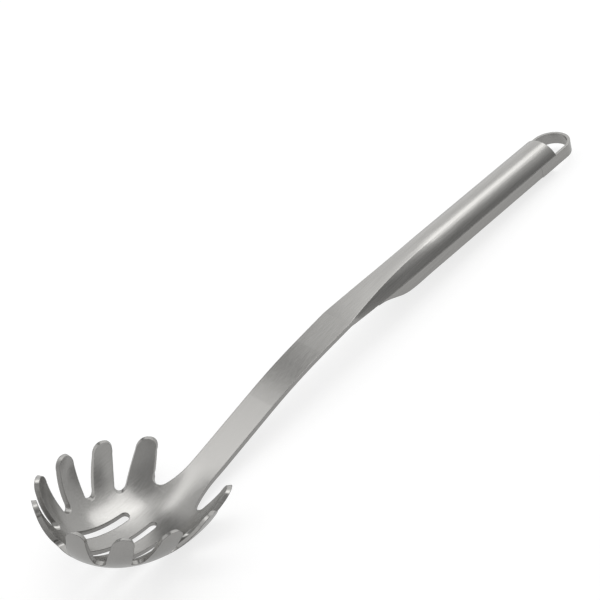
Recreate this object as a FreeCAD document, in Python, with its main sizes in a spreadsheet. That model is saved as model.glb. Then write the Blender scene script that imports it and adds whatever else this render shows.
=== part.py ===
"""Pasta server: pressed steel bowl with prongs and neck, hollow two-shell handle, end plug and loop."""
import FreeCAD, Part
import math
import os
import Sketcher

# Sizes: lengths in millimetres, angles in degrees, shares without a unit
SIZES = {
    # the sheet that the bowl, its prongs and the neck are pressed from
    "sheet_gauge": 1.9,
    # bowl: radius of the middle of the sheet; angles from its axis to the gap bottoms and the prong tips
    "bowl_radius": 42.7,
    "rim_angle": 39.9,
    "tip_angle": 70.0,
    # the bowl leans back: each level shifts toward the handle by a share of its height over the lean height
    "lean_share": 0.308,
    "lean_height": 9.8,
    # the front of the bowl rises by a share of its reach; shares of a round bowl's depth and width
    "front_rise_share": 0.0165,
    "depth_share": 0.973,
    "width_share": 1.014,
    # prongs: angle from one to the next, the wider angle across the front, and widths at the root and the tip
    "prong_step_angle": 28.2,
    "front_step_angle": 44.7,
    "prong_root_width": 8.0,
    "prong_tip_width": 9.4,
    # the gap beside the neck: its angles from the neck and from the axis, and the prong's root there
    "neck_gap_angle": 29.8,
    "neck_rim_angle": 47.5,
    "neck_prong_root_width": 10.2,
    # drain slots
    "slot_width": 4.5,
    "slot_pitch": 13.0,
    "middle_slot_length": 36.4,
    "side_slot_length": 26.4,
    "slot_setback": 2.2,
    # neck: angle above the level of the bowl, a straight length, a gentle bend and a straight end
    "neck_angle": 32.9,
    "neck_length": 57.1,
    "neck_bend_radius": 300.0,
    "neck_bend_angle": 6.4,
    "neck_end_length": 19.45,
    "neck_width": 16.6,
    "nose_width": 17.4,
    # the neck starts curved across like the bowl, just inside the bowl's faces, and goes flat over a length
    "camber_length": 24.0,
    "root_step": 0.03,
    # its sides flare toward the bowl, round a corner and run on as the side of the first prong
    "flare_length": 17.0,
    "flare_radius": 36.0,
    "corner_radius": 3.9,
    "corner_reach": 4.9,
    "corner_angle": 26.8,
    "tang_width": 10.0,
    "tang_gauge": 0.9,
    "tang_length": 12.0,
    # handle: angle above the level of the bowl, lengths, and how far above its line the neck arrives
    "handle_angle": 19.8,
    "handle_length": 150.3,
    "shoulder_length": 64.0,
    "nose_rise": 0.25,
    # full section: flat sides, an arch above of a crown between two creases and two flanks, an arch below
    "handle_width": 20.4,
    "handle_top": 5.4,
    "seam_drop": 0.7,
    "side_depth": 6.3,
    "crease_width": 8.8,
    "crown_arch": 0.87,
    "flank_arch": 0.66,
    "belly_arch": 4.2,
    # the lower shell's thin start, and the least arch of a drawn edge
    "belly_lip": 0.4,
    "least_arch": 0.03,
    "shell_wall": 1.5,
    "plug_gauge": 1.5,
    # hanging loop: a strap let into the sides of the handle and bent round behind it
    "loop_height": 6.0,
    "loop_leg_length": 12.0,
    "loop_straight": 8.2,
    # how far a cutting shape runs past what it cuts
    "overrun": 5.0,
}
GAPS_PER_SIDE = 5
CAMBER_SHARES = (0.0, 0.1, 0.3, 0.5, 0.7, 0.9, 1.0)
# places along the shoulder where its section is drawn, and where the lower shell and the hollow begin
FULL_SHARE = 1.0
UPPER_SHARES = (0.0, 0.15, 0.3, 0.45, 0.6, 0.8, FULL_SHARE)
LOWER_SHARES = (0.28, 0.36, 0.44, 0.52, 0.6, 0.8, FULL_SHARE)
HOLLOW_SHARES = (0.4, 0.52, 0.6, 0.8, FULL_SHARE)
BELLY_SHARES = (0.28, 0.6)
# how closely the faces of the leaned bowl must meet
FINE_TOLERANCE = 1e-5
COARSE_TOLERANCE = 1e-3

doc = FreeCAD.newDocument("pasta_server")
sheet = doc.addObject("Spreadsheet::Sheet", "Sizes")
for row, (alias, amount) in enumerate(SIZES.items(), start=1):
    sheet.set(f"A{row}", alias)
    sheet.set(f"B{row}", str(amount))
    sheet.setAlias(f"B{row}", alias)
doc.recompute()


class Size:
    """A size together with the text that works it out from the cells of the sheet."""

    def __init__(self, value, text):
        self.value = value
        self.text = text

    def __add__(self, other):
        return Size(self.value + other.value, f"({self.text} + {other.text})")

    def __sub__(self, other):
        return Size(self.value - other.value, f"({self.text} - {other.text})")

    def __mul__(self, other):
        return Size(self.value * other.value, f"({self.text} * {other.text})")

    def __truediv__(self, other):
        return Size(self.value / other.value, f"({self.text} / {other.text})")

    def __neg__(self):
        return Size(-self.value, f"(-1 * {self.text})")


def number(value):
    """A plain ratio or count as a Size."""
    return Size(value, repr(float(value)))


def cell(alias):
    return Size(float(sheet.get(alias)), f"Sizes.{alias}")


def sine(angle):
    return Size(math.sin(math.radians(angle.value)), f"sin({angle.text} * 1 deg)")


def cosine(angle):
    return Size(math.cos(math.radians(angle.value)), f"cos({angle.text} * 1 deg)")


def root(size):
    return Size(math.sqrt(size.value), f"sqrt({size.text})")


def half(size):
    return size / number(2)


def between(start, finish, part):
    return start + (finish - start) * number(part)


ZERO = number(0)
ONE = number(1)
HALF_RIGHT_ANGLE = number(45)
HALF_TURN = number(180)
gauge = cell("sheet_gauge")
radius = cell("bowl_radius")
overrun = cell("overrun")
prong = cell("prong_tip_width")
prong_root = cell("prong_root_width")


def origin_part(body, role):
    return next(o for o in body.Origin.OriginFeatures if o.Role == role)


def new_sketch(body, name, plane, offset=None):
    sketch = body.newObject("Sketcher::SketchObject", name)
    sketch.AttachmentSupport = [(origin_part(body, plane), "")]
    sketch.MapMode = "FlatFace"
    if offset is not None:
        sketch.AttachmentOffset = offset
    return sketch


def station(along):
    """Offset of a cross-section drawn on the YZ plane to its place along the X axis."""
    return FreeCAD.Placement(FreeCAD.Vector(0, 0, along.value), FreeCAD.Rotation())


def bind_station(sketch, along):
    sketch.setExpression("AttachmentOffset.Base.z", along.text)


def pin(sketch, kind, axis, edge, end, size):
    """Hold one coordinate of a corner at a size, or on the axis where it is zero."""
    if size.value == 0:
        sketch.addConstraint(Sketcher.Constraint("PointOnObject", edge, end, axis))
        return
    index = sketch.addConstraint(Sketcher.Constraint(kind, edge, end, size.value))
    sketch.setExpression(f"Constraints[{index}]", size.text)


def outline(sketch, corners, through=None):
    """Closed outline: lines from corner to corner, or an arc through the point given for that edge."""
    through = through or {}
    spots = [FreeCAD.Vector(x.value, y.value, 0) for x, y in corners]
    first = sketch.GeometryCount
    count = len(corners)
    for i in range(count):
        start, finish = spots[i], spots[(i + 1) % count]
        if i in through:
            x, y = through[i]
            way = FreeCAD.Vector(x.value, y.value, 0)
            if (way - start).cross(finish - way).z < 0:
                start, finish = finish, start
            sketch.addGeometry(Part.Arc(start, way, finish))
        else:
            sketch.addGeometry(Part.LineSegment(start, finish))

    def end_at(edge, spot):
        shape = sketch.Geometry[edge]
        return 1 if shape.StartPoint.distanceToPoint(spot) < shape.EndPoint.distanceToPoint(spot) else 2

    ends = [(end_at(first + (i - 1) % count, spots[i]), end_at(first + i, spots[i])) for i in range(count)]
    for i, (before_end, end) in enumerate(ends):
        edge, before = first + i, first + (i - 1) % count
        sketch.addConstraint(Sketcher.Constraint("Coincident", before, before_end, edge, end))
        pin(sketch, "DistanceX", -2, edge, end, corners[i][0])
        pin(sketch, "DistanceY", -1, edge, end, corners[i][1])
    for i, (x, y) in through.items():
        guide = sketch.addGeometry(Part.Point(FreeCAD.Vector(x.value, y.value, 0)), True)
        pin(sketch, "DistanceX", -2, guide, 1, x)
        pin(sketch, "DistanceY", -1, guide, 1, y)
        sketch.addConstraint(Sketcher.Constraint("PointOnObject", guide, 1, first + i))


def feature(body, kind, name, profile, length=None, **settings):
    """One PartDesign feature of a sketch, with its length bound to the sheet."""
    made = body.newObject(f"PartDesign::{kind}", name)
    made.Profile = profile
    for key, setting in settings.items():
        setattr(made, key, setting)
    if length is not None:
        made.setExpression("Length", length.text)
    body.Tip = made
    return made


def loft(body, kind, name, sketches):
    made = body.newObject(f"PartDesign::{kind}", name)
    made.Profile = sketches[0]
    made.Sections = sketches[1:]
    made.Ruled = False
    body.Tip = made
    return made


# Bowl: the sheet revolved about its own axis, before it is leaned back
rim, tip = cell("rim_angle"), cell("tip_angle")
inside, outside = radius - half(gauge), radius + half(gauge)
rim_height = radius - radius * cosine(rim)
tip_height = radius - radius * cosine(tip)
over_height = tip_height + overrun


def at_tips(face_radius):
    """Where a face of the sheet reaches the level of the tips."""
    drop = radius * cosine(tip)
    return root(face_radius * face_radius - drop * drop), tip_height


def on_sheet(face_radius, angle):
    return face_radius * sine(angle), radius - face_radius * cosine(angle)


bowl = doc.addObject("PartDesign::Body", "BowlBlank")
dish = new_sketch(bowl, "DishProfile", "XZ_Plane")
outline(dish,
        [(ZERO, -half(gauge)), at_tips(outside), at_tips(inside), (ZERO, half(gauge))],
        {0: on_sheet(outside, half(tip)), 2: on_sheet(inside, half(tip))})
revolved = bowl.newObject("PartDesign::Revolution", "Dish")
revolved.Profile = dish
revolved.ReferenceAxis = (dish, ["V_Axis"])
revolved.setExpression("Angle", (HALF_TURN + HALF_TURN).text)
bowl.Tip = revolved
doc.recompute()


# Gaps between the prongs: each cut leaves half of a round tip on either side
def gap(name, middle, step, root_width, bottom, round_radius=None):
    """One gap, cut outward from the axis; a gap wider than its round corners gets a flat bottom."""
    bottom_height = radius - radius * cosine(bottom)
    low = radius * sine(bottom) * sine(half(step)) - half(root_width)
    high = radius * sine(tip) * sine(half(step)) - half(prong)
    corner = round_radius or low
    flat = low - corner
    shoulder = tip_height - half(prong)
    swing = half(prong) * cosine(HALF_RIGHT_ANGLE)
    right = [(low, bottom_height + corner), (high, shoulder), (high + half(prong), tip_height),
             (high + half(prong), over_height)]
    left = [(-x, y) for x, y in reversed(right)]
    arc_spot = (high + half(prong) - swing, shoulder + swing)
    through = {1: arc_spot, 5: (-arc_spot[0], arc_spot[1])}
    corners = right + left
    if round_radius is None:
        through[7] = (ZERO, bottom_height)
    else:
        drop = corner - corner * cosine(HALF_RIGHT_ANGLE)
        through[7] = (-low + drop, bottom_height + drop)
        through[9] = (low - drop, bottom_height + drop)
        corners = corners + [(-flat, bottom_height), (flat, bottom_height)]
    turn = FreeCAD.Placement(FreeCAD.Vector(), FreeCAD.Rotation(FreeCAD.Vector(0, 1, 0), middle.value))
    sketch = new_sketch(bowl, f"{name}Outline", "YZ_Plane", turn)
    outline(sketch, corners, through)
    return feature(bowl, "Pocket", name, sketch, outside + overrun, Reversed=True), low


step, front, neck_gap = cell("prong_step_angle"), cell("front_step_angle"), cell("neck_gap_angle")
first_gap = HALF_TURN - half(front) - half(step) - step * number(GAPS_PER_SIDE - 2)
for side, mirrored in (("Left", False), ("Right", True)):
    gap(f"{side}NeckGap", -neck_gap if mirrored else neck_gap, step, cell("neck_prong_root_width"),
        cell("neck_rim_angle"))
    cut, bottom_radius = gap(f"{side}Gap", -first_gap if mirrored else first_gap, step, prong_root, rim)
    row = bowl.newObject("PartDesign::PolarPattern", f"{side}Gaps")
    row.Originals = [cut]
    row.Axis = (origin_part(bowl, "Z_Axis"), [""])
    row.Reversed = mirrored
    row.Occurrences = GAPS_PER_SIDE - 1
    row.setExpression("Angle", (step * number(GAPS_PER_SIDE - 2)).text)
    bowl.Tip = row
    doc.recompute()
gap("FrontGap", HALF_TURN, front, prong_root, rim, bottom_radius)

# Shape of the bowl: a lean along X that grows with height, a rise to the front, and its depth and width
lean, lean_height = cell("lean_share"), cell("lean_height")
rise, depth_share, width_share = cell("front_rise_share"), cell("depth_share"), cell("width_share")

# Neck root: where the shaped sheet has the neck's slope, with the line across the sheet there before shaping
neck_angle = cell("neck_angle")
neck_slope = sine(neck_angle) / cosine(neck_angle)
root_slope = (neck_slope + rise) / (depth_share - lean * neck_slope)
root_cosine = ONE / root(ONE + root_slope * root_slope)
root_sine = root_slope * root_cosine
root_x, root_z = radius * root_sine, radius - radius * root_cosine
area = depth_share + lean * rise
across_x = -(depth_share * sine(neck_angle) + lean * cosine(neck_angle)) / area
across_z = (cosine(neck_angle) - rise * sine(neck_angle)) / area
root_depth = ((root_sine - lean * root_cosine) * sine(neck_angle)
              + (rise * root_sine + depth_share * root_cosine) * cosine(neck_angle))

# Round corner between the neck and the first prong on either side, in the neck's own plane
neck_half, nose_half = half(cell("neck_width")), half(cell("nose_width"))
flare_length, flare_radius = cell("flare_length"), cell("flare_radius")
corner_radius, corner_reach = cell("corner_radius"), cell("corner_reach")
inner_reach, flare_run = flare_radius - corner_radius, flare_length - corner_reach
flare_middle = neck_half + flare_radius
corner_middle = flare_middle - root(inner_reach * inner_reach - flare_run * flare_run)

# Neck wedge: between the middles of those corners the wall is left out beyond the neck's root
wedge_width = (corner_middle + corner_middle) / width_share
wedge = new_sketch(bowl, "NeckWedgeOutline", "XZ_Plane")
wedge_low, wedge_high = root_z - across_z * gauge, root_z + across_z * radius
outline(wedge, [(root_x - across_x * gauge, wedge_low), (outside + overrun, wedge_low),
                (outside + overrun, wedge_high), (root_x + across_x * radius, wedge_high)])
feature(bowl, "Pocket", "NeckWedge", wedge, wedge_width, SideType="Symmetric")
doc.recompute()

# The shaped bowl
leaned = doc.addObject("Part::Feature", "LeanedBowl")
lean_shape = bowl.Shape.transformGeometry(FreeCAD.Matrix(
    1, 0, lean.value, -lean.value * lean_height.value,
    0, width_share.value, 0, 0,
    -rise.value, 0, depth_share.value, 0,
    0, 0, 0, 1))
lean_shape.fix(FINE_TOLERANCE, FINE_TOLERANCE, COARSE_TOLERANCE)
leaned.Shape = lean_shape

# Drain slots along the neck's direction, punched straight down through the leaned bowl
punch = doc.addObject("PartDesign::Body", "SlotPunch")
slots = new_sketch(punch, "SlotOutlines", "XY_Plane")
slot_half = half(cell("slot_width"))
pitch, setback = cell("slot_pitch"), cell("slot_setback")
for across, length in ((ZERO, cell("middle_slot_length")), (pitch, cell("side_slot_length")),
                       (-pitch, cell("side_slot_length"))):
    reach = half(length)
    straight = reach - slot_half
    outline(slots,
            [(-straight - setback, across - slot_half), (straight - setback, across - slot_half),
             (straight - setback, across + slot_half), (-straight - setback, across + slot_half)],
            {1: (reach - setback, across), 3: (-reach - setback, across)})
feature(punch, "Pad", "Slots", slots, rim_height + rim_height, SideType="Symmetric")
dished = doc.addObject("Part::Cut", "SlottedBowl")
dished.Base = leaned
dished.Tool = punch
doc.recompute()

# Neck: drawn along its own straight line, which leaves the bowl as a tangent
handle_angle = cell("handle_angle")
bend, bend_radius = cell("neck_bend_angle"), cell("neck_bend_radius")
fall = neck_angle - handle_angle
neck_length, end_length = cell("neck_length"), cell("neck_end_length")
camber_length = cell("camber_length")
neck = doc.addObject("PartDesign::Body", "NeckStrip")


def on_bend(face_radius, angle):
    return neck_length + face_radius * sine(angle), face_radius * cosine(angle) - bend_radius


def at_nose(along, above):
    """A place from the middle of the neck's end: along the handle's axis and square to it."""
    x, z = on_bend(bend_radius, bend)
    x, z = x + end_length * cosine(bend), z - end_length * sine(bend)
    return x + along * cosine(fall) + above * sine(fall), z - along * sine(fall) + above * cosine(fall)


top_bend, under_bend = bend_radius + half(gauge), bend_radius - half(gauge)
end_half = half(gauge) / cosine(fall - bend)
strip = new_sketch(neck, "StripProfile", "XZ_Plane")
outline(strip,
        [(camber_length, -half(gauge)), (neck_length, -half(gauge)), on_bend(under_bend, bend),
         at_nose(ZERO, -end_half), at_nose(ZERO, end_half), on_bend(top_bend, bend),
         (neck_length, half(gauge)), (camber_length, half(gauge))],
        {1: on_bend(under_bend, half(bend)), 5: on_bend(top_bend, half(bend))})
feature(neck, "Pad", "Strip", strip, cell("nose_width"), SideType="Symmetric")

# Tang: a thin tongue on the strip's end inside the handle's nose
tang_length, tang_thick = cell("tang_length"), half(cell("tang_gauge"))
tang = new_sketch(neck, "TangProfile", "XZ_Plane")
outline(tang, [at_nose(ZERO, -tang_thick), at_nose(tang_length, -tang_thick),
               at_nose(tang_length, tang_thick), at_nose(ZERO, tang_thick)])
feature(neck, "Pad", "Tang", tang, cell("tang_width"), SideType="Symmetric")


def lift(face_radius, across):
    """Height of a face of the bowl above the neck's line in the plane across the neck's root."""
    level = across / width_share
    return root_depth * (radius - root(face_radius * face_radius - level * level))


# Camber: from a section curved across like the bowl to the strip's flat one, wide enough to be trimmed
camber_sections = []
for share in CAMBER_SHARES:
    flat = share * share * (3 - 2 * share)
    step_in = cell("root_step") * number(1 - flat)
    under_edge = between(lift(outside, corner_middle), -half(gauge), flat) + step_in
    under_middle = between(lift(outside, ZERO), -half(gauge), flat) + step_in
    top_edge = between(lift(inside, corner_middle), half(gauge), flat) - step_in
    top_middle = between(lift(inside, ZERO), half(gauge), flat) - step_in
    along = camber_length * number(share)
    section = new_sketch(neck, f"Camber{len(camber_sections)}", "YZ_Plane", station(along))
    bind_station(section, along)
    arcs = {0: (ZERO, under_middle), 2: (ZERO, top_middle)} if flat < FULL_SHARE else None
    outline(section, [(-corner_middle, under_edge), (corner_middle, under_edge),
                      (corner_middle, top_edge), (-corner_middle, top_edge)], arcs)
    camber_sections.append(section)
loft(neck, "AdditiveLoft", "Camber", camber_sections)
doc.recompute()


# Sides of the neck: a cut on either side from the nose to the bowl, round the corner and along the prong
def on_circle(middle, circle_radius, spot):
    """The point of a circle that lies toward a spot."""
    across, up = spot[0] - middle[0], spot[1] - middle[1]
    share = circle_radius / root(across * across + up * up)
    return middle[0] + across * share, middle[1] + up * share


def halfway(one, other):
    return half(one[0] + other[0]), half(one[1] + other[1])


corner_angle = cell("corner_angle")
nose_reach = at_nose(ZERO, end_half)[0] + overrun
flare_centre, corner_centre = (flare_length, flare_middle), (corner_reach, corner_middle)
flare_start = (flare_length, neck_half)
flare_end = on_circle(flare_centre, flare_radius, corner_centre)
prong_start = (corner_reach - corner_radius * sine(corner_angle),
               corner_middle + corner_radius * cosine(corner_angle))
prong_end = (prong_start[0] + half(radius) * cosine(corner_angle),
             prong_start[1] + half(radius) * sine(corner_angle))
flare_way = on_circle(flare_centre, flare_radius, halfway(flare_start, flare_end))
corner_way = on_circle(corner_centre, corner_radius, halfway(flare_end, prong_start))
side_cut = doc.addObject("PartDesign::Body", "SideCut")
sides = new_sketch(side_cut, "SideOutlines", "XY_Plane")
for sign in (ONE, -ONE):
    way = [(nose_reach, nose_half), (nose_reach - overrun, nose_half), (neck_length, neck_half),
           flare_start, flare_end, prong_start, prong_end, (nose_reach, prong_end[1])]
    outline(sides, [(x, sign * y) for x, y in way],
            {3: (flare_way[0], sign * flare_way[1]), 4: (corner_way[0], sign * corner_way[1])})
feature(side_cut, "Pad", "Sides", sides, neck_length, SideType="Symmetric")
doc.recompute()

# Handle: drawn along its own line from the nose, with the seam of its two shells a little below that line
handle_length, shoulder_length = cell("handle_length"), cell("shoulder_length")
straight_length = handle_length - shoulder_length
wall, lip = cell("shell_wall"), cell("belly_lip")
full_half, crease_half = half(cell("handle_width")), half(cell("crease_width"))
seam = -cell("seam_drop")
nose_top = cell("nose_rise") + end_half
least = cell("least_arch")


def rounded(low, high, bulge):
    """Point in the middle of a flank, set out from the straight line between its ends by the bulge."""
    across, up = high[0] - low[0], high[1] - low[1]
    chord = root(across * across + up * up)
    return half(low[0] + high[0]) + bulge * up / chord, half(low[1] + high[1]) - bulge * across / chord


def upper_section(body, name, along, share, inset):
    """Section above the seam: a crown between two creases, and a flank down to each side."""
    width = between(full_half, nose_half, (1 - share) ** 3) - inset
    crease = between(crease_half, nose_half, (1 - share) ** 2) - inset * number(share)
    peak = between(cell("handle_top"), nose_top, (1 - share) ** 2) - inset
    crown = between(least, cell("crown_arch"), share ** 2)
    bulge = between(least, cell("flank_arch"), share ** 2)
    side, edge = (width, seam), (crease, peak - crown)
    flank = rounded(side, edge, bulge)
    sketch = new_sketch(body, name, "YZ_Plane", station(along))
    bind_station(sketch, along)
    outline(sketch, [(-width, seam), side, edge, (-crease, edge[1])],
            {1: flank, 2: (ZERO, peak), 3: (-flank[0], flank[1])})
    return sketch


def lower_section(body, name, along, share, inset):
    """Section below the seam: flat sides and an arched belly."""
    start, finish = BELLY_SHARES
    part = min(FULL_SHARE, max(0, (share - start) / (finish - start)))
    growth = part * part * (3 - 2 * part)
    width = between(full_half, nose_half, (1 - share) ** 3) - inset
    depth = between(seam - lip, -cell("side_depth"), growth)
    arch = between(least + inset, cell("belly_arch"), growth) - inset
    sketch = new_sketch(body, name, "YZ_Plane", station(along))
    bind_station(sketch, along)
    outline(sketch, [(-width, depth), (width, depth), (width, seam), (-width, seam)],
            {0: (ZERO, depth - arch)})
    return sketch


def shell(name, section, shares):
    """One shell: its shoulder and grip, hollowed out from the seam's side."""
    body = doc.addObject("PartDesign::Body", name)
    outer = [section(body, f"{name}Outer{i}", shoulder_length * number(u), u, ZERO)
             for i, u in enumerate(shares)]
    loft(body, "AdditiveLoft", f"{name}Shoulder", outer)
    grip = section(body, f"{name}GripOuter", shoulder_length, FULL_SHARE, ZERO)
    feature(body, "Pad", f"{name}Grip", grip, straight_length)
    inner = [section(body, f"{name}Inner{i}", shoulder_length * number(u), u, wall)
             for i, u in enumerate(HOLLOW_SHARES)]
    loft(body, "SubtractiveLoft", f"{name}ShoulderHollow", inner)
    bore = section(body, f"{name}GripInner", shoulder_length, FULL_SHARE, wall)
    feature(body, "Pocket", f"{name}GripHollow", bore, straight_length + overrun, Reversed=True)
    doc.recompute()
    return body


upper = shell("UpperShell", upper_section, UPPER_SHARES)
lower = shell("LowerShell", lower_section, LOWER_SHARES)

# Slot for the tang in the upper shell's nose, and a notch in each side of the lower shell for the loop
tang_half, tang_low = half(cell("tang_width")), cell("nose_rise") - tang_thick
tang_high = cell("nose_rise") + tang_thick
slot = new_sketch(upper, "TangSlotOutline", "YZ_Plane")
outline(slot, [(-tang_half, tang_low), (tang_half, tang_low),
               (tang_half, tang_high), (-tang_half, tang_high)])
feature(upper, "Pocket", "TangSlot", slot, tang_length, Reversed=True)
loop_low, leg_start = seam - cell("loop_height"), handle_length - cell("loop_leg_length")
notch = new_sketch(lower, "NotchOutline", "XZ_Plane")
outline(notch, [(leg_start, loop_low), (handle_length + overrun, loop_low),
                (handle_length + overrun, seam), (leg_start, seam)])
feature(lower, "Pocket", "LoopNotches", notch, cell("handle_width") + overrun, SideType="Symmetric")
doc.recompute()

# End plug: closes the handle's open end, flush with it
plug = doc.addObject("PartDesign::Body", "EndPlug")
plug_place = handle_length - cell("plug_gauge")
for section, name in ((upper_section, "PlugUpper"), (lower_section, "PlugLower")):
    plate = section(plug, f"{name}Section", plug_place, FULL_SHARE, wall)
    feature(plug, "Pad", name, plate, cell("plug_gauge"))

# Hanging loop: strap as thick as the wall it is let into
loop = doc.addObject("PartDesign::Body", "Loop")
loop_middle = handle_length + cell("loop_straight")
inner_half = full_half - wall
strap = new_sketch(loop, "StrapOutline", "XY_Plane", station(seam))
bind_station(strap, seam)
outline(strap,
        [(leg_start, full_half), (leg_start, inner_half),
         (loop_middle, inner_half), (loop_middle, -inner_half),
         (leg_start, -inner_half), (leg_start, -full_half),
         (loop_middle, -full_half), (loop_middle, full_half)],
        {2: (loop_middle + inner_half, ZERO), 6: (loop_middle + full_half, ZERO)})
feature(loop, "Pad", "Strap", strap, cell("loop_height"), Reversed=True)
doc.recompute()

# Frames: the neck starts at its root on the shaped bowl, and the handle at the neck's end
Y_AXIS = FreeCAD.Vector(0, 1, 0)
root_reach = root_x + lean * (root_z - lean_height)
root_height = depth_share * root_z - rise * root_x
neck_frame = FreeCAD.Placement(FreeCAD.Vector(root_reach.value, 0, root_height.value),
                               FreeCAD.Rotation(Y_AXIS, -neck_angle.value))
nose_x, nose_z = at_nose(ZERO, -cell("nose_rise"))
handle_frame = neck_frame * FreeCAD.Placement(FreeCAD.Vector(nose_x.value, 0, nose_z.value),
                                              FreeCAD.Rotation(Y_AXIS, fall.value))
neck.Placement = neck_frame
side_cut.Placement = neck_frame
joined = doc.addObject("Part::MultiFuse", "JoinedHead")
joined.Shapes = [dished, neck]
joined.Refine = True
head = doc.addObject("Part::Cut", "Head")
head.Base = joined
head.Tool = side_cut
doc.recompute()

# Lying pose: turned until the outside of the bowl and the end of the handle rest on one level
heel_depth = cell("side_depth") + cell("belly_arch")
heel = handle_frame.multVec(FreeCAD.Vector(handle_length.value, 0, -heel_depth.value))
reach = heel.x - lean.value * (radius.value - lean_height.value)
drop = heel.z - depth_share.value * radius.value
square = outside.value ** 2
second = reach ** 2 - square * (1 + lean.value ** 2)
first = 2 * (square * (lean.value * depth_share.value - rise.value) - reach * drop)
constant = drop ** 2 - square * (rise.value ** 2 + depth_share.value ** 2)
tilt = math.atan((-first + math.sqrt(first ** 2 - 4 * second * constant)) / (2 * second))
turned = FreeCAD.Placement(FreeCAD.Vector(), FreeCAD.Rotation(Y_AXIS, math.degrees(tilt)))
pieces = {
    "bowl_and_neck": (head, turned),
    "handle_upper_shell": (upper, turned * handle_frame),
    "handle_lower_shell": (lower, turned * handle_frame),
    "handle_end_plug": (plug, turned * handle_frame),
    "hanging_loop": (loop, turned * handle_frame),
}
for piece, placement in pieces.values():
    piece.Placement = placement
doc.recompute()
extent = FreeCAD.BoundBox()
for piece, placement in pieces.values():
    extent.add(piece.Shape.optimalBoundingBox())
rest = turned.multVec(heel).z
centre = FreeCAD.Placement(FreeCAD.Vector(-(extent.XMin + extent.XMax) / 2, 0, -rest), FreeCAD.Rotation())
for name, (piece, placement) in pieces.items():
    piece.Placement = centre * placement
    piece.Label = name
doc.recompute()

for item in doc.Objects:
    if "Invalid" in item.State or "Error" in item.State:
        raise RuntimeError(f"{item.Name} did not build: {item.State}")
os.makedirs("parts", exist_ok=True)
for name, (piece, placement) in pieces.items():
    if piece.Shape.isNull() or not piece.Shape.isValid() or len(piece.Shape.Solids) != 1:
        raise RuntimeError(f"{name} is not one valid solid")
    piece.Shape.exportStep(f"parts/{name}.step")
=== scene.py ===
"""Pasta server in brushed stainless steel, seen as in the photograph."""
import bpy
import math
from mathutils import Matrix, Vector

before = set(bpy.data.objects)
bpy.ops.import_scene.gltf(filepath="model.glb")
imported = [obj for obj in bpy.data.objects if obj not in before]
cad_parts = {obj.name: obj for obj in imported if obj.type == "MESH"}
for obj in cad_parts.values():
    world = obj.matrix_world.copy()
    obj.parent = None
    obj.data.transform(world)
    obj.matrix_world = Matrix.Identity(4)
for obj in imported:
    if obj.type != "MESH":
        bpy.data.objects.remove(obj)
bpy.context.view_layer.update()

MM = 0.001

# Tones and roughness of the steel, between the brush marks and on them
STEEL_TONES = ("#949390", "#AEADAB")
STEEL_ROUGHNESS = (0.2, 0.26)

# Brush marks: length, width and turn about Z; real ones are near 0.1 mm wide and are drawn coarser to show
BOWL_MARKS = (7 * MM, 0.45 * MM, math.radians(35))
LENGTHWISE_MARKS = (40 * MM, 0.4 * MM, 0.0)
MARK_DETAIL, MARK_SOFTNESS = 3.0, 0.6
MARK_SPREAD = (0.3, 0.7)
MARK_RELIEF, MARK_DEPTH = 0.08, 0.01 * MM

# How far the marks stretch a highlight on each steel
SHEET_STRETCH, TUBE_STRETCH, STRAP_STRETCH = 0.2, 0.4, 0.0

# The marks turn from aslant on the bowl to lengthwise on the neck between these places along X
BOWL_END, NECK_START = -118 * MM, -100 * MM

# The weld at the handle's nose is ground flush, so edges this near to it are neither eased nor given the
# painted edge shade
NOSE, NOSE_REACH = -3.5 * MM, 2 * MM

# Radius to which the edges are eased
SHEET_EDGE, STRAP_EDGE = 0.5 * MM, 0.35 * MM
EDGE_SAMPLES = 6

# Painted shade along the edges, a darker line: its tone, and how far the eased normal agrees with the face
# at its start and full
EDGE_SHADE_TONE = "#4E4D4B"
EDGE_SHADE_START, EDGE_SHADE_FULL, EDGE_SHADE_STRENGTH = 0.97, 0.75, 0.55

# Floor, and how much white it adds where the camera sees it and where the steel mirrors it
FLOOR_SIZE = 3.0
PAPER_TONE, PAPER_ROUGHNESS = "#9A9A9A", 0.9
CAMERA_LIFT, MIRROR_LIFT = 0.72, 0.5
WHITE = "#FFFFFF"

# Soft light round the server: levels at compass angles from +X, in rings one above the other
HALF_TURN = 180
LOW_RING = (
    (-180, 0.6), (-150, 0.5), (-120, 0.55), (-90, 0.8), (-72, 0.8), (-62, 0.45), (-55, 0.28),
    (-46, 0.3), (-36, 0.6), (-25, 0.75), (-10, 0.8), (10, 0.9), (40, 1.1), (52, 1.15), (60, 1.25),
    (71, 0.3), (76, 0.3), (85, 0.9), (110, 1.0), (150, 0.9), (180, 0.6))
MIDDLE_RING = (
    (-180, 0.45), (-150, 0.4), (-120, 0.6), (-90, 0.9), (-65, 0.95), (-50, 0.4), (-38, 0.45),
    (-28, 0.8), (-10, 0.9), (20, 1.2), (42, 1.5), (54, 1.6), (62, 1.55), (71, 0.45), (75, 0.7),
    (80, 1.7), (86, 2.5), (100, 2.5), (120, 1.2), (150, 0.8), (180, 0.45))
HIGH_RING = (
    (-180, 0.4), (-120, 0.6), (-90, 0.6), (-45, 0.9), (-15, 0.9), (15, 1.1), (45, 1.7), (75, 1.1),
    (90, 0.8), (120, 0.8), (150, 0.6), (180, 0.4))
TOP_RING = ((-180, 0.4), (180, 0.4))
BRIGHTEST = 2.5

# Angles above the horizon over which each ring gives way to the next
MIDDLE_EDGE, HIGH_EDGE, TOP_EDGE = (41, 48), (50, 58), (66, 82)

# Soft box above the handle: length, width, watts and place
BOX_LENGTH, BOX_WIDTH, BOX_WATTS = 1.27, 0.55, 3.1
BOX_PLACE = (0.715, 0.12, 1.0)

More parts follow.
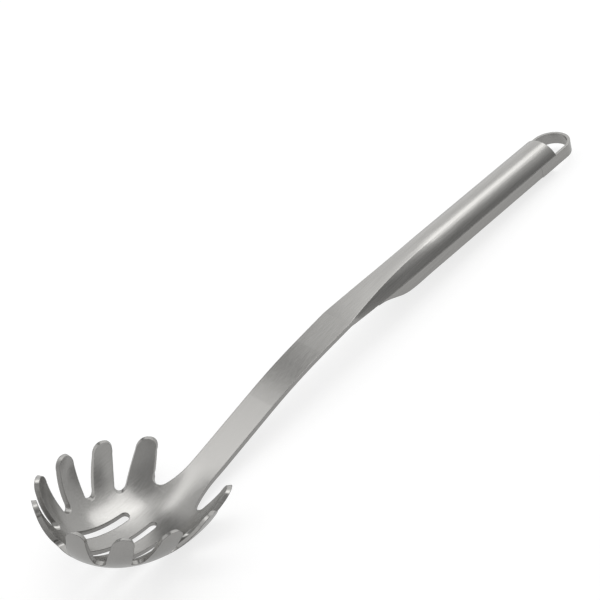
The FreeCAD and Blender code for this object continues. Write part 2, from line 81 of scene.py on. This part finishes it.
# Camera: where it stands, the way back from what it looks at, its roll and its lens
CAMERA_PLACE = (-0.250438, -0.389309, 0.377372)
CAMERA_AZIMUTH, CAMERA_ELEVATION, CAMERA_ROLL = -120.8238, 36.5249, -21.9410
LENS_LENGTH, SENSOR_WIDTH = 76.842, 36.0


def linear(code):
    """sRGB hex colour as linear red, green and blue, with a full alpha."""
    parts = [int(code[i:i + 2], 16) / 255 for i in (1, 3, 5)]
    return [c / 12.92 if c <= 0.04045 else ((c + 0.055) / 1.055) ** 2.4 for c in parts] + [1.0]


def add_node(tree, kind, settings=None, links=None, **fields):
    """Adds a node, sets its fields and inputs, and links named inputs from other nodes' sockets."""
    node = tree.nodes.new(kind)
    for key, value in fields.items():
        setattr(node, key, value)
    for key, value in (settings or {}).items():
        node.inputs[key].default_value = value
    for key, socket in (links or {}).items():
        tree.links.new(socket, node.inputs[key])
    return node


def new_material(name):
    """A material with its node tree and its shader."""
    material = bpy.data.materials.new(name)
    material.use_nodes = True
    tree = material.node_tree
    return material, tree, tree.nodes["Principled BSDF"]


def brush_marks(tree, place, length, width, turn):
    """Fine noise stretched to the marks' length and width, and turned about Z."""
    stretch = add_node(tree, "ShaderNodeMapping",
                       {"Scale": (1 / length, 1 / width, 1 / width), "Rotation": (0, 0, turn)},
                       {"Vector": place.outputs["Object"]})
    return add_node(tree, "ShaderNodeTexNoise",
                    {"Scale": 1.0, "Detail": MARK_DETAIL, "Roughness": MARK_SOFTNESS},
                    {"Vector": stretch.outputs["Vector"]})


def along_server(tree, place, start, finish):
    """0 before the start and 1 after the finish along X, with a smooth step between."""
    split = add_node(tree, "ShaderNodeSeparateXYZ", links={"Vector": place.outputs["Object"]})
    return add_node(tree, "ShaderNodeMapRange", {"From Min": start, "From Max": finish},
                    {"Value": split.outputs["X"]}, interpolation_type="SMOOTHSTEP")


def brushed_steel(name, edge, stretch):
    """Stainless steel whose brush marks vary its tone, roughness and surface, with eased edges that carry a
    painted shade line.
    """
    material, tree, shader = new_material(name)
    shader.inputs["Metallic"].default_value = 1.0
    shader.inputs["Anisotropic"].default_value = stretch
    place = add_node(tree, "ShaderNodeTexCoord")

    # Marks, and the tone and roughness that they give
    aslant = brush_marks(tree, place, *BOWL_MARKS)
    lengthwise = brush_marks(tree, place, *LENGTHWISE_MARKS)
    on_neck = along_server(tree, place, BOWL_END, NECK_START)
    marks = add_node(tree, "ShaderNodeMix",
                     links={"Factor": on_neck.outputs["Result"], "A": aslant.outputs["Fac"],
                            "B": lengthwise.outputs["Fac"]})
    rough = add_node(tree, "ShaderNodeMapRange",
                     {"From Min": MARK_SPREAD[0], "From Max": MARK_SPREAD[1],
                      "To Min": STEEL_ROUGHNESS[0], "To Max": STEEL_ROUGHNESS[1]},
                     {"Value": marks.outputs["Result"]})
    tone = add_node(tree, "ShaderNodeMix", links={"Factor": marks.outputs["Result"]}, data_type="RGBA")
    tone.inputs["A"].default_value = linear(STEEL_TONES[0])
    tone.inputs["B"].default_value = linear(STEEL_TONES[1])

    # Eased edges, but for the weld at the nose
    face = add_node(tree, "ShaderNodeNewGeometry")
    eased = add_node(tree, "ShaderNodeBevel", {"Radius": edge}, samples=EDGE_SAMPLES)
    before = along_server(tree, place, NOSE - NOSE_REACH, NOSE)
    after = along_server(tree, place, NOSE, NOSE + NOSE_REACH)
    weld = add_node(tree, "ShaderNodeMath",
                    links={0: before.outputs["Result"], 1: after.outputs["Result"]}, operation="SUBTRACT")
    normal = add_node(tree, "ShaderNodeMix", links={"Factor": weld.outputs["Value"]}, data_type="VECTOR")
    tree.links.new(eased.outputs["Normal"], normal.inputs["A"])
    tree.links.new(face.outputs["Normal"], normal.inputs["B"])

    # Painted shade: the eased edges get a darker line mixed into the steel's tone
    lean = add_node(tree, "ShaderNodeVectorMath",
                    links={0: eased.outputs["Normal"], 1: face.outputs["Normal"]}, operation="DOT_PRODUCT")
    edge_shade_mask = add_node(tree, "ShaderNodeMapRange",
                   {"From Min": EDGE_SHADE_START, "From Max": EDGE_SHADE_FULL, "To Max": EDGE_SHADE_STRENGTH},
                   {"Value": lean.outputs["Value"]})
    unwelded = add_node(tree, "ShaderNodeMath", {0: 1.0}, {1: weld.outputs["Value"]}, operation="SUBTRACT")
    edge_shade_amount = add_node(tree, "ShaderNodeMath",
                    links={0: edge_shade_mask.outputs["Result"], 1: unwelded.outputs["Value"]}, operation="MULTIPLY")
    # The painted edge shade darkens the steel's tone towards the edge shade tone
    edge_shaded = add_node(tree, "ShaderNodeMix", links={"Factor": edge_shade_amount.outputs["Value"]}, data_type="RGBA")
    tree.links.new(tone.outputs["Result"], edge_shaded.inputs["A"])
    edge_shaded.inputs["B"].default_value = linear(EDGE_SHADE_TONE)

    # The marks' relief, and the way round the handle in which they stretch a highlight
    relief = add_node(tree, "ShaderNodeBump", {"Strength": MARK_RELIEF, "Distance": MARK_DEPTH},
                      {"Height": marks.outputs["Result"], "Normal": normal.outputs["Result"]})
    around = add_node(tree, "ShaderNodeTangent", direction_type="RADIAL", axis="X")
    for key, socket in (("Base Color", edge_shaded.outputs["Result"]), ("Roughness", rough.outputs["Result"]),
                        ("Tangent", around.outputs["Tangent"]), ("Normal", relief.outputs["Normal"])):
        tree.links.new(socket, shader.inputs[key])
    return material


# Pressed stainless sheet, satin brushed: soft grey with fine streaks and blurred reflections
sheet = brushed_steel("stainless_sheet_satin_brushed", SHEET_EDGE, SHEET_STRETCH)
# Stainless shells, brushed lengthwise: a long highlight that the marks spread round the handle
tube = brushed_steel("stainless_tube_brushed_lengthwise", SHEET_EDGE, TUBE_STRETCH)
# Stainless strap and plug, brushed: the same grey with tighter edges and an even gloss
strap = brushed_steel("stainless_strap_brushed", STRAP_EDGE, STRAP_STRETCH)
finishes = {"bowl_and_neck": sheet, "handle_upper_shell": tube, "handle_lower_shell": tube,
            "handle_end_plug": strap, "hanging_loop": strap}
for name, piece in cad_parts.items():
    piece.data.materials.clear()
    piece.data.materials.append(finishes[name])

# Matt white paper: white to the camera and pale in the steel, with the server's soft shadow on it
bpy.ops.mesh.primitive_plane_add(size=FLOOR_SIZE)
floor = bpy.context.object
floor.name = "floor"
paper, tree, shader = new_material("paper_white_matt")
shader.inputs["Base Color"].default_value = linear(PAPER_TONE)
shader.inputs["Roughness"].default_value = PAPER_ROUGHNESS
shader.inputs["Emission Color"].default_value = linear(WHITE)
rays = add_node(tree, "ShaderNodeLightPath")
mirrored = add_node(tree, "ShaderNodeMath",
                    links={0: rays.outputs["Is Glossy Ray"], 1: rays.outputs["Is Transmission Ray"]},
                    operation="MAXIMUM")
in_steel = add_node(tree, "ShaderNodeMath", {1: MIRROR_LIFT}, {0: mirrored.outputs["Value"]},
                    operation="MULTIPLY")
lift = add_node(tree, "ShaderNodeMath", {1: CAMERA_LIFT},
                {0: rays.outputs["Is Camera Ray"], 2: in_steel.outputs["Value"]},
                operation="MULTIPLY_ADD")
tree.links.new(lift.outputs["Value"], shader.inputs["Emission Strength"])
floor.data.materials.append(paper)


def light_ring(tree, turn, stops):
    """Grey levels at compass angles from +X, with smooth steps between."""
    ramp = add_node(tree, "ShaderNodeValToRGB", links={"Fac": turn.outputs["Result"]})
    ramp.color_ramp.interpolation = "EASE"
    elements = ramp.color_ramp.elements
    while len(elements) < len(stops):
        elements.new(0.5)
    for element, (angle, level) in zip(elements, stops):
        element.position = (angle + HALF_TURN) / (2 * HALF_TURN)
        element.color = [level / BRIGHTEST] * 3 + [1.0]
    return ramp


def climb(tree, direction, edge):
    """0 below the first angle above the horizon and 1 over the second, by the height of the direction."""
    low, high = (math.sin(math.radians(angle)) for angle in edge)
    return add_node(tree, "ShaderNodeMapRange", {"From Min": low, "From Max": high},
                    {"Value": direction.outputs["Z"]}, interpolation_type="SMOOTHSTEP")


# Surroundings: soft light that the steel mirrors, brightest on the far side, dim in front and overhead
world = bpy.data.worlds.new("studio")
bpy.context.scene.world = world
world.use_nodes = True
tree = world.node_tree
way = add_node(tree, "ShaderNodeTexCoord")
direction = add_node(tree, "ShaderNodeSeparateXYZ", links={"Vector": way.outputs["Generated"]})
compass = add_node(tree, "ShaderNodeMath",
                   links={0: direction.outputs["Y"], 1: direction.outputs["X"]}, operation="ARCTAN2")
turn = add_node(tree, "ShaderNodeMapRange", {"From Min": -math.pi, "From Max": math.pi},
                {"Value": compass.outputs["Value"]})
light = light_ring(tree, turn, LOW_RING).outputs["Color"]
for stops, edge in ((MIDDLE_RING, MIDDLE_EDGE), (HIGH_RING, HIGH_EDGE), (TOP_RING, TOP_EDGE)):
    blend = add_node(tree, "ShaderNodeMix",
                     links={"Factor": climb(tree, direction, edge).outputs["Result"]}, data_type="RGBA")
    tree.links.new(light, blend.inputs["A"])
    tree.links.new(light_ring(tree, turn, stops).outputs["Color"], blend.inputs["B"])
    light = blend.outputs["Result"]
surroundings = tree.nodes["Background"]
surroundings.inputs["Strength"].default_value = BRIGHTEST
tree.links.new(light, surroundings.inputs["Color"])

# Past the floor's edge the camera sees plain white, while the steel mirrors the soft light
white = add_node(tree, "ShaderNodeBackground", {"Color": linear(WHITE), "Strength": 1.0})
rays = add_node(tree, "ShaderNodeLightPath")
straight = add_node(tree, "ShaderNodeMath",
                    links={0: rays.outputs["Is Camera Ray"], 1: rays.outputs["Is Transmission Ray"]},
                    operation="MAXIMUM")
sky = add_node(tree, "ShaderNodeMixShader",
               links={0: straight.outputs["Value"], 1: surroundings.outputs["Background"],
                      2: white.outputs["Background"]})
tree.links.new(sky.outputs["Shader"], tree.nodes["World Output"].inputs["Surface"])

# Soft box above the handle, which gives the long highlight
lamp = bpy.data.lights.new("overhead", "AREA")
lamp.shape = "RECTANGLE"
lamp.size, lamp.size_y, lamp.energy = BOX_LENGTH, BOX_WIDTH, BOX_WATTS
overhead = bpy.data.objects.new("overhead", lamp)
bpy.context.scene.collection.objects.link(overhead)
overhead.location = BOX_PLACE

# Camera at the photograph's viewing angle
lens = bpy.data.cameras.new("camera")
lens.lens, lens.sensor_width = LENS_LENGTH, SENSOR_WIDTH
camera = bpy.data.objects.new("camera", lens)
bpy.context.scene.collection.objects.link(camera)
azimuth, elevation = math.radians(CAMERA_AZIMUTH), math.radians(CAMERA_ELEVATION)
back = Vector((math.cos(elevation) * math.cos(azimuth), math.cos(elevation) * math.sin(azimuth),
               math.sin(elevation)))
right = Vector((0, 0, 1)).cross(back).normalized()
up = back.cross(right)
upright = Matrix((right, up, back)).transposed()
camera.matrix_world = (Matrix.Translation(CAMERA_PLACE) @ upright.to_4x4()
                       @ Matrix.Rotation(math.radians(CAMERA_ROLL), 4, "Z"))
bpy.context.scene.camera = camera
bpy.context.scene.view_settings.view_transform = "Standard"
